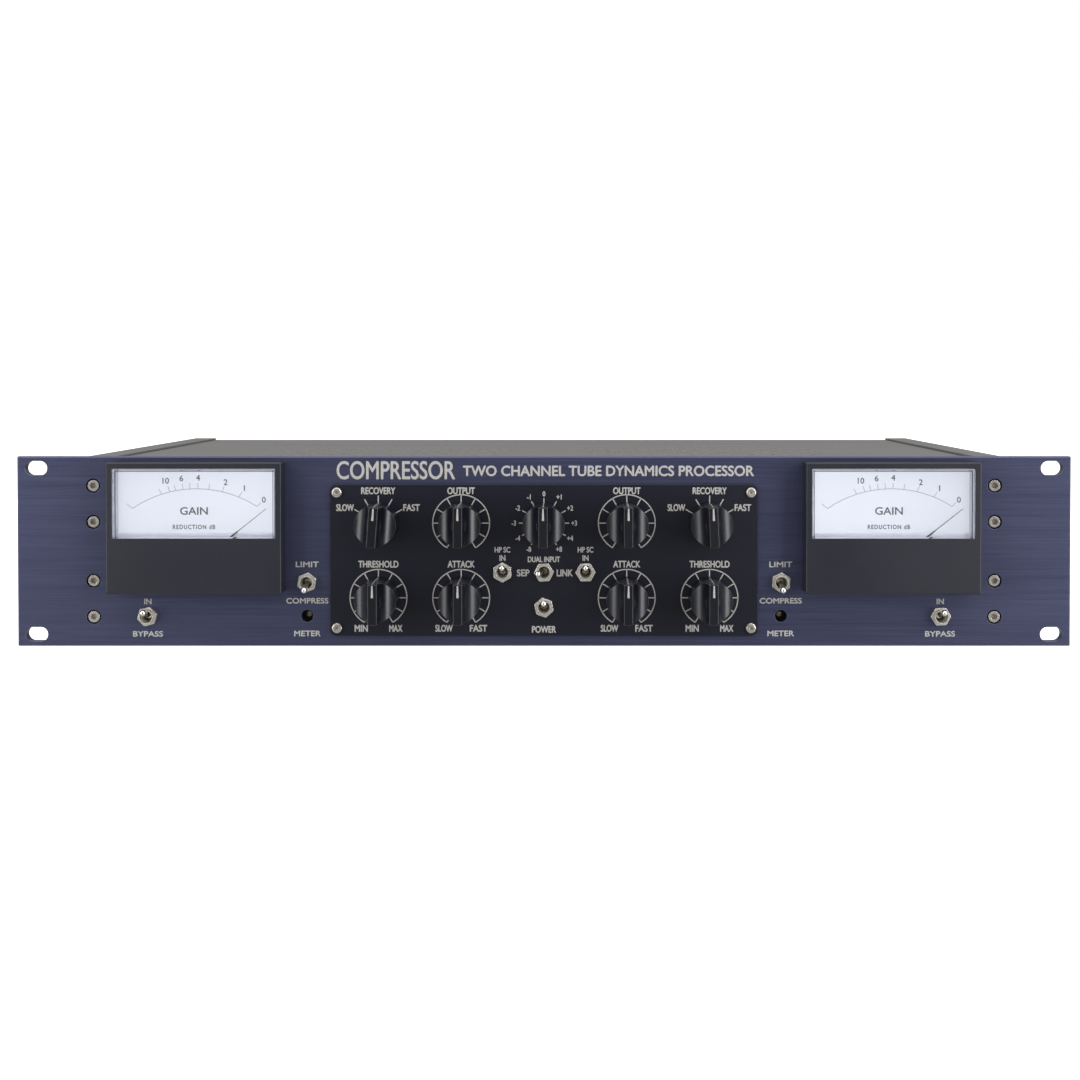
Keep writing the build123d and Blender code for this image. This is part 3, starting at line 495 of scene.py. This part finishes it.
class Print:
    """Thin printed shapes on a plane that faces the front. To face the rear, everything is
    turned half round at the end."""

    def __init__(self, face, rear=False):
        self.mesh = bmesh.new()
        self.rear = rear
        self.y = (-face if rear else face) - PRINT_LIFT

    def outline(self, points):
        """A closed flat shape from (x, z) points, given a little thickness."""
        loops = []
        for y in (self.y, self.y - PRINT_THICKNESS):
            loops.append([self.mesh.verts.new((x, y, z)) for x, z in points])
        count = len(points)
        self.mesh.faces.new(loops[1])
        self.mesh.faces.new(list(reversed(loops[0])))
        for index in range(count):
            after = (index + 1) % count
            self.mesh.faces.new((loops[0][index], loops[0][after],
                                 loops[1][after], loops[1][index]))

    def stroke(self, start, end, width, end_width=None):
        """A straight line of a given width."""
        a, b = Vector(start), Vector(end)
        across = (b - a).normalized().orthogonal()
        w0, w1 = width / 2, (end_width or width) / 2
        self.outline([a + across * w0, b + across * w1, b - across * w1, a - across * w0])

    def arc(self, centre, radius, width, start, end):
        """A circular line between two clock angles in degrees, 0 at the top."""
        steps = max(8, int(abs(end - start) / 4))
        for index in range(steps):
            quad = []
            turn0 = math.radians(start + (end - start) * index / steps)
            turn1 = math.radians(start + (end - start) * (index + 1) / steps)
            for turn, reach in ((turn0, radius - width / 2), (turn1, radius - width / 2),
                                (turn1, radius + width / 2), (turn0, radius + width / 2)):
                quad.append((centre[0] + reach * math.sin(turn),
                             centre[1] + reach * math.cos(turn)))
            self.outline(quad)

    def tick(self, centre, angle, inner, outer, width):
        turn = math.radians(angle)
        way = Vector((math.sin(turn), math.cos(turn)))
        self.stroke(Vector(centre) + way * inner, Vector(centre) + way * outer, width)

    def text(self, words, x, z, cap, width=None, bold=0.0, squeeze=1.0, spacing=1.0):
        """Centred lettering of a given capital height, squeezed to a width if one is given.
        Bold letters are printed five times, each a little to one side."""
        curve = bpy.data.curves.new("lettering", "FONT")
        curve.body = words
        curve.space_character = spacing
        curve.align_x = "CENTER"
        curve.size = 1.0
        curve.resolution_u = 4
        holder = bpy.data.objects.new("lettering", curve)
        bpy.context.scene.collection.objects.link(holder)
        bpy.context.view_layer.update()
        flat = bpy.data.meshes.new_from_object(holder)
        bpy.data.objects.remove(holder)
        xs = [v.co.x for v in flat.vertices]
        ys = [v.co.y for v in flat.vertices]
        tall = cap / (max(ys) - min(ys))
        wide = width / (max(xs) - min(xs)) if width else tall * squeeze
        centre = Vector(((max(xs) + min(xs)) / 2, (max(ys) + min(ys)) / 2, 0))
        flat.transform(Matrix.Translation(-centre))
        flat.transform(Matrix.Diagonal((wide, tall, 1, 1)))
        flat.transform(Matrix.Rotation(math.radians(90), 4, "X"))
        flat.transform(Matrix.Translation((x, self.y, z)))
        letters = bmesh.new()
        letters.from_mesh(flat)
        front = letters.faces[:]
        grown = bmesh.ops.extrude_face_region(letters, geom=front)
        moved = [v for v in grown["geom"] if isinstance(v, bmesh.types.BMVert)]
        bmesh.ops.translate(letters, verts=moved, vec=(0, -PRINT_THICKNESS, 0))
        bmesh.ops.recalc_face_normals(letters, faces=letters.faces[:])
        letters.to_mesh(flat)
        letters.free()
        reach = bold * cap
        shifts = ((0, 0), (reach, 0), (-reach, 0), (0, reach), (0, -reach)) if bold else ((0, 0),)
        before = (0, 0)
        for across, up in shifts:
            flat.transform(Matrix.Translation((across - before[0], -PRINT_STEP, up - before[1])))
            self.mesh.from_mesh(flat)
            before = (across, up)
        bpy.data.meshes.remove(flat)

    def finish(self, name, material, body):
        bmesh.ops.recalc_face_normals(self.mesh, faces=self.mesh.faces[:])
        mesh = bpy.data.meshes.new(name)
        self.mesh.to_mesh(mesh)
        self.mesh.free()
        if self.rear:
            mesh.transform(Matrix.Rotation(math.pi, 4, "Z"))
        return new_piece(name, mesh, material, body)


# Printing on the panel and the plate

BOLD = 0.04
LABEL_CAP = 3.0 * MM
SMALL_CAP = 2.45 * MM
DIAL_RADIUS = 13.0 * MM
DIAL_LINE = 0.5 * MM
DIAL_TICK_START = 9.6 * MM
DIAL_SWEEP = 150
RECOVERY_SWEEP = 60
TICK_STEP = 30
RECOVERY_TICK = (8.5 * MM, 12.6 * MM)
RECOVERY_WORD_ASIDE = 15.2 * MM
RECOVERY_WORD_RISE = 7.1 * MM
INPUT_TICK = (9.3 * MM, 11.5 * MM)
INPUT_NUMBER_REACH = 13.8 * MM
INPUT_TOP_NUMBER_REACH = 13.4 * MM
INPUT_NUMBER_CAP = 2.3 * MM
END_WORD_ASIDE = 7.9 * MM
END_WORD_DROP = 14.0 * MM
END_LETTER_WIDTH = 1.95 * MM
SOCKET_WIDTH = 26.0 * MM
REAR_LABEL_RISE = 4.5 * MM


def dial_centre(knob):
    """X and Z of a knob's middle."""
    point = middle(knob)
    return point.x, point.z


def print_dial(ink, knob):
    """A ring open at the bottom, with eleven ticks inside it."""
    centre = dial_centre(knob)
    ink.arc(centre, DIAL_RADIUS, DIAL_LINE, -DIAL_SWEEP, DIAL_SWEEP)
    for angle in range(-DIAL_SWEEP, DIAL_SWEEP + 1, TICK_STEP):
        ink.tick(centre, angle, DIAL_TICK_START, DIAL_RADIUS, DIAL_LINE)


def print_recovery(ink, knob):
    """Five ticks without a ring."""
    centre = x, z = dial_centre(knob)
    for angle in range(-RECOVERY_SWEEP, RECOVERY_SWEEP + 1, TICK_STEP):
        ink.tick(centre, angle, *RECOVERY_TICK, DIAL_LINE)
    for words, aside, width in (("SLOW", -RECOVERY_WORD_ASIDE, 7.9),
                                ("FAST", RECOVERY_WORD_ASIDE, 7.4)):
        ink.text(words, x + aside, z + RECOVERY_WORD_RISE, LABEL_CAP, width * MM, BOLD)


def print_input(ink, knob):
    """Ticks with numbers round them."""
    centre = dial_centre(knob)
    numbers = ("-8", "-4", "-3", "-2", "-1", "0", "+1", "+2", "+3", "+4", "+8")
    for index, number in enumerate(numbers):
        angle = -DIAL_SWEEP + TICK_STEP * index
        turn = math.radians(angle)
        ink.tick(centre, angle, *INPUT_TICK, DIAL_LINE)
        reach = INPUT_NUMBER_REACH if angle else INPUT_TOP_NUMBER_REACH
        ink.text(number, centre[0] + reach * math.sin(turn),
                 centre[1] + reach * math.cos(turn), INPUT_NUMBER_CAP, None, BOLD, squeeze=0.8)


def print_plate(white):
    """All lettering on the black plate."""
    ink = Print(PLATE_FACE)
    for side in SIDES:
        for knob in ("output", "attack", "threshold"):
            print_dial(ink, f"{side}_{knob}_knob")
        print_recovery(ink, f"{side}_recovery_knob")
        for knob, words, width, above in (
                ("recovery", "RECOVERY", 15.4, 14.8), ("output", "OUTPUT", 12.4, 14.8),
                ("threshold", "THRESHOLD", 18.2, 15.4), ("attack", "ATTACK", 12.2, 15.4)):
            x, z = dial_centre(f"{side}_{knob}_knob")
            ink.text(words, x, z + above * MM, LABEL_CAP, width * MM, BOLD)
        for knob, low, high in (("threshold", "MIN", "MAX"), ("attack", "SLOW", "FAST")):
            x, z = dial_centre(f"{side}_{knob}_knob")
            for words, aside in ((low, -END_WORD_ASIDE), (high, END_WORD_ASIDE)):
                ink.text(words, x + aside, z - END_WORD_DROP, LABEL_CAP,
                         END_LETTER_WIDTH * len(words), BOLD)
        x, z = lever_place(f"{side}_filter_lever")
        ink.text("HP SC", x, z + 10.2 * MM, SMALL_CAP, 7.0 * MM, BOLD)
        ink.text("IN", x, z + 6.4 * MM, SMALL_CAP, 2.6 * MM, BOLD)
    print_input(ink, "input_knob")
    x, z = lever_place("link_lever")
    ink.text("DUAL INPUT", x, z + 5.8 * MM, SMALL_CAP, 14.6 * MM, BOLD)
    ink.text("SEP", x - 9.5 * MM, z - 0.4 * MM, LABEL_CAP, 5.6 * MM, BOLD)
    ink.text("LINK", x + 9.5 * MM, z - 0.4 * MM, LABEL_CAP, 7.2 * MM, BOLD)
    x, z = lever_place("power_lever")
    ink.text("POWER", x, z - 10.2 * MM, LABEL_CAP, 10.8 * MM, BOLD)
    ink.finish("plate_lettering", white, CHASSIS)


def lever_place(lever):
    """X and Z of a toggle, from its joint."""
    return joint_place(nodes[lever]["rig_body"])


def mark_knob(knob, white, dim):
    """The white line down a bar's front face, and the thinner one along its upper end."""
    x, z = dial_centre(knob)
    rear = PLATE_FACE - KNOB_GAP
    front = rear - KNOB_LENGTH
    rim = rear - KNOB_RIM
    lean = math.radians(KNOB_LEAN.get(knob, 0.0))
    along = Vector((math.sin(lean), math.cos(lean)))
    ink = Print(front)
    centre = Vector((x, z))
    ink.stroke(centre + along * KNOB_LINE_FROM_MM * MM, centre + along * KNOB_LINE_TO_MM * MM,
               *KNOB_LINE_WIDTHS)
    body = nodes[knob]["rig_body"]
    ink.finish(f"{knob}_front_line", white, body)
    stations = ((front + END_LINE_START, KNOB_FRONT_RADIUS), (rim, KNOB_RIM_RADIUS),
                (rear, KNOB_RIM_RADIUS))
    mesh = bmesh.new()
    rows = []
    for y, radius in stations:
        row = []
        for side, lift in ((-1, 0.0), (-1, END_LINE_LIFT), (1, END_LINE_LIFT), (1, 0.0)):
            point = Vector((side * END_LINE_HALF, radius + lift))
            across = Vector((along.y, -along.x)) * point.x
            spot = centre + across + along * point.y
            row.append(mesh.verts.new((spot.x, y, spot.y)))
        rows.append(row)
    for row, after in zip(rows, rows[1:]):
        for index in range(4):
            following = (index + 1) % 4
            mesh.faces.new((row[index], row[following], after[following], after[index]))
    mesh.faces.new(rows[0])
    mesh.faces.new(list(reversed(rows[-1])))
    bmesh.ops.recalc_face_normals(mesh, faces=mesh.faces[:])
    strip = bpy.data.meshes.new(f"{knob}_end_line")
    mesh.to_mesh(strip)
    mesh.free()
    new_piece(f"{knob}_end_line", strip, dim, body)


def print_panel(white):
    """All lettering on the blue panel."""
    ink = Print(PANEL_FACE)
    for side in SIDES:
        x, z = lever_place(f"{side}_mode_lever")
        ink.text("LIMIT", x, z + 8.1 * MM, SMALL_CAP, 10.4 * MM, BOLD)
        ink.text("COMPRESS", x, z - 8.6 * MM, SMALL_CAP, 19.2 * MM, BOLD)
        ink.text("METER", x, z - 23.6 * MM, SMALL_CAP, 12.0 * MM, BOLD)
        x, z = lever_place(f"{side}_bypass_lever")
        ink.text("IN", x, z + 6.7 * MM, SMALL_CAP, 3.2 * MM, BOLD)
        ink.text("BYPASS", x, z - 8.2 * MM, SMALL_CAP, 13.6 * MM, BOLD)
    ink.text("COMPRESSOR", -67.8 * MM, 37.2 * MM, 8.2 * MM, 54.0 * MM, 0.02)
    ink.text("TWO CHANNEL TUBE DYNAMICS PROCESSOR", 29.5 * MM, 36.9 * MM, 4.6 * MM,
             133 * MM, BOLD)
    ink.finish("panel_lettering", white, CHASSIS)


def print_rear(white):
    """What each socket is for, over it on the back plate. X runs the other way seen from behind."""
    ink = Print(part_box("rear_panel")[1].y, rear=True)
    for sockets, words in (("xlr_inputs", "INPUT"), ("xlr_outputs", "OUTPUT")):
        low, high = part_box(sockets)
        half = SOCKET_WIDTH / 2
        for number, x in ((1, low.x + half), (2, high.x - half)):
            ink.text(f"{words} {number}", -x, high.z + REAR_LABEL_RISE, LABEL_CAP, None, BOLD)
    low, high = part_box("power_inlet")
    ink.text("POWER", -(low.x + high.x) / 2, high.z + REAR_LABEL_RISE, LABEL_CAP, None, BOLD)
    ink.finish("rear_lettering", white, CHASSIS)


# Meter faces

# The scale's line is an arc of this radius, whose top is this far above the needle's spindle.
# Marks and ends are at degrees from upright. Each number has its degrees and its reach in mm.
SCALE_ARC = 51.4 * MM
SCALE_ARC_TOP = 34.5 * MM
SCALE_MARKS = (-26.3, -20.0, -15.5, -9.8, -4.6, 1.2, 9.4, 19.6, 32.2)
SCALE_ENDS = (-48.8, 46.2)
SCALE_NUMBERS = (("10", -20.0, 40.6), ("6", -9.8, 39.8), ("4", 1.2, 39.55),
                 ("2", 19.6, 39.8), ("1", 32.2, 41.1), ("0", 46.2, 42.6))


def needle_pivot(side):
    """X and Z of a meter's needle spindle, from its joint."""
    return joint_place(f"{side}_needle")


def arc_reach(angle):
    """How far the scale's line is from the spindle, in a direction from upright."""
    drop = SCALE_ARC_TOP - SCALE_ARC
    fall = drop * math.cos(math.radians(angle))
    return fall + math.sqrt(fall * fall - drop * drop + SCALE_ARC * SCALE_ARC)


def print_meter(side, dark, grey):
    """An arc with its ticks and numbers, and the words under it."""
    low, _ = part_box(f"{side}_meter_scale")
    pivot = x, z = needle_pivot(side)
    lines = Print(low.y)
    centre = (x, z + SCALE_ARC_TOP - SCALE_ARC)
    start, end = (
        math.degrees(math.asin(arc_reach(angle) * math.sin(math.radians(angle)) / SCALE_ARC))
        for angle in SCALE_ENDS)
    lines.arc(centre, SCALE_ARC, 0.24 * MM, start, end)
    for angle in SCALE_MARKS:
        reach = arc_reach(angle)
        lines.tick(pivot, angle, reach, reach + 2.7 * MM, 0.22 * MM)
    for angle, length in zip(SCALE_ENDS, (3.3, 2.7)):
        reach = arc_reach(angle)
        lines.tick(pivot, angle, reach, reach + length * MM, 0.22 * MM)
    lines.finish(f"{side}_meter_lines", grey, CHASSIS)
    ink = Print(low.y)
    for number, angle, reach in SCALE_NUMBERS:
        turn = math.radians(angle)
        ink.text(number, x + reach * MM * math.sin(turn), z + reach * MM * math.cos(turn),
                 2.6 * MM, None, 0.03)
    ink.text("GAIN", x - 1.1 * MM, z + 24.4 * MM, 3.4 * MM, 12.5 * MM, 0.03)
    ink.text("REDUCTION dB", x - 1.1 * MM, z + 17.1 * MM, 1.95 * MM, 19.2 * MM, BOLD, spacing=1.25)
    ink.finish(f"{side}_meter_print", dark, CHASSIS)


def bars(name, boxes, material):
    """Several straight bars in one piece, with a small bevel on their edges."""
    mesh = bmesh.new()
    for x0, x1, y0, y1, z0, z1 in boxes:
        made = bmesh.ops.create_cube(mesh, size=1.0)
        place = Matrix.Translation(((x0 + x1) / 2, (y0 + y1) / 2, (z0 + z1) / 2))
        stretch = Matrix.Diagonal((x1 - x0, y1 - y0, z1 - z0, 1))
        bmesh.ops.transform(mesh, matrix=place @ stretch, verts=made["verts"])
    bmesh.ops.bevel(mesh, geom=mesh.edges[:], offset=0.06 * MM, segments=2, profile=0.5,
                    affect="EDGES")
    data = bpy.data.meshes.new(name)
    mesh.to_mesh(data)
    mesh.free()
    return new_piece(name, data, material, CHASSIS)


LINER_RIM = 0.8 * MM
LINER_GAP = 0.42 * MM


def line_meter(side, white, dark, grey, ledge):
    """Behind the pane a pale rim, a dark gasket, a pale wall down to the dial sheet and a
    pale ledge along its foot; a grey strip at the wall's rear edge is a painted shadow in the gap
    by the dial sheet."""
    pane_low, pane_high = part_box(f"{side}_meter_window")
    scale_low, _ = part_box(f"{side}_meter_scale")
    left, right = pane_low.x + 0.05 * MM, pane_high.x - 0.05 * MM
    bottom, top = pane_low.z + 0.05 * MM, pane_high.z - 0.05 * MM

    def surround(y0, y1, outer, thick):
        """Left, right and top bars, a little way in from the pane's edge."""
        x0, x1, z1 = left + outer, right - outer, top - outer
        return [(x0, x0 + thick, y0, y1, bottom, z1), (x1 - thick, x1, y0, y1, bottom, z1),
                (x0 + thick, x1 - thick, y0, y1, z1 - thick, z1)]

    behind = pane_high.y + 0.02 * MM
    rear = scale_low.y - 0.05 * MM
    rim, gap = LINER_RIM, LINER_GAP
    bars(f"{side}_meter_liner", surround(behind, behind + 0.6 * MM, 0.0, rim)
         + surround(behind + 1.0 * MM, rear - 0.5 * MM, rim, gap), white)
    bars(f"{side}_meter_gasket", surround(behind + 0.1 * MM, behind + 0.9 * MM, rim, gap),
         dark)
    # A grey strip next to the dial sheet, as painted shadow in the gap there.
    bars(f"{side}_meter_shadow_strip", surround(rear - 0.48 * MM, rear, rim, gap), grey)
    bars(f"{side}_meter_ledge", [(left, right, rear - 1.35 * MM, rear,
                                  bottom - 0.1 * MM, bottom + 2.0 * MM)], ledge)


# Assembly

def put_on(node, material):
    """Gives a CAD node one material."""
    node.data.materials.clear()
    node.data.materials.append(material)
    for polygon in node.data.polygons:
        polygon.material_index = 0


def dress_all():
    """Every CAD node gets the material of its own slot. The levers and the face's screws
    have the nickel of theirs in a brighter and a duller finish."""
    made = {}
    for node in nodes.values():
        slot = node.data.materials[0].name
        made.setdefault(slot, []).append(node)
    for slot, members in made.items():
        bpy.data.materials[slot].name = f"{slot}_plain"
        material = MAKERS[slot](slot)
        for node in members:
            put_on(node, material)
    lever_nickel = make_lever_nickel("lever_nickel")
    for lever in LEVERS:
        put_on(nodes[lever], lever_nickel)
    screw_nickel = make_screw_nickel("screw_nickel")
    for screws in ("front_panel_screws", "control_plate_screws"):
        put_on(nodes[screws], screw_nickel)


FLOOR_HALF = 12.0
FLOOR_GAP = 0.2 * MM


def make_stage():
    """A white floor under everything, large enough to fill the view. It lights nothing."""
    mesh = bpy.data.meshes.new("floor")
    half = FLOOR_HALF
    z = panel_low.z - FLOOR_GAP
    corners = [(-half, -half, z), (half, -half, z), (half, half, z), (-half, half, z)]
    mesh.from_pydata(corners, [], [(0, 1, 2, 3)])
    floor = bpy.data.objects.new("floor", mesh)
    bpy.context.scene.collection.objects.link(floor)
    floor.visible_diffuse = False
    floor.visible_glossy = False
    floor.visible_shadow = False
    shader = Shader("floor")
    shader.set(Base_Color=(0.9, 0.9, 0.9, 1), Roughness=0.9, Emission_Color=(1, 1, 1, 1),
               Emission_Strength=1.0)
    mesh.materials.append(shader.material)


def make_light(name, place, aim, size, radiance):
    """A rectangular soft box of a given brightness."""
    data = bpy.data.lights.new(name, "AREA")
    data.shape = "RECTANGLE"
    data.size, data.size_y = size
    data.energy = radiance * math.pi * size[0] * size[1]
    data.color = (0.95, 0.97, 1.0)
    light = bpy.data.objects.new(name, data)
    light.location = place
    way = Vector(aim) - Vector(place)
    light.rotation_euler = way.to_track_quat("-Z", "Y").to_euler()
    light.visible_camera = False
    bpy.context.scene.collection.objects.link(light)


# How bright the room is from straight ahead of the unit (0) round to straight behind it (1)
ROOM = ((0.0, 0.20), (0.015, 0.22), (0.08, 0.75), (0.5, 0.5), (1.0, 0.42))
TALL_BOX_TURN = math.radians(54)
TALL_BOX_DISTANCE = 1.15


def make_lights():
    """A large soft box overhead, a tall one on each side in front, and a dim room."""
    make_light("overhead", (0, -0.2, 1.6), (0, 0, 0), (2.2, 1.6), 2.1)
    across = TALL_BOX_DISTANCE * math.sin(TALL_BOX_TURN)
    ahead = -TALL_BOX_DISTANCE * math.cos(TALL_BOX_TURN)
    for name, side, radiance in (("tall_left", -1, 4.4), ("tall_right", 1, 6.6)):
        make_light(name, (side * across, ahead, 0.4), (0, 0, 0.4), (0.5, 1.4), radiance)
    world = bpy.data.worlds.new("world")
    world.use_nodes = True
    tree = world.node_tree
    background = tree.nodes["Background"]
    coordinates = tree.nodes.new("ShaderNodeTexCoord")
    split = tree.nodes.new("ShaderNodeSeparateXYZ")
    along = tree.nodes.new("ShaderNodeMapRange")
    along.inputs["From Min"].default_value = -1.0
    room = tree.nodes.new("ShaderNodeValToRGB")
    fill_ramp(room, grey_stops(ROOM))
    path = tree.nodes.new("ShaderNodeLightPath")
    seen = tree.nodes.new("ShaderNodeMapRange")
    seen.inputs["To Max"].default_value = 1.0
    tree.links.new(coordinates.outputs["Generated"], split.inputs["Vector"])
    tree.links.new(split.outputs["Y"], along.inputs["Value"])
    tree.links.new(along.outputs["Result"], room.inputs["Fac"])
    tree.links.new(room.outputs["Color"], seen.inputs["To Min"])
    tree.links.new(path.outputs["Is Camera Ray"], seen.inputs["Value"])
    tree.links.new(seen.outputs["Result"], background.inputs["Strength"])
    background.inputs["Color"].default_value = (1, 1, 1, 1)
    bpy.context.scene.world = world


def main():
    make_camera()
    dress_all()
    white = make_print_white("print_white")
    dim = make_print_dim("print_dim")
    dark = make_print_dark("print_dark")
    grey = make_print_grey("print_grey")
    pale = make_liner_white("liner_white")
    gasket = make_liner_dark("liner_dark")
    bright = make_ledge_white("ledge_white")
    print_plate(white)
    print_panel(white)
    print_rear(white)
    for knob in KNOBS:
        mark_knob(knob, white, dim)
    for side in SIDES:
        print_meter(side, dark, grey)
        line_meter(side, pale, gasket, grey, bright)
    make_stage()
    make_lights()
    bpy.context.scene.view_settings.view_transform = "Standard"


main()
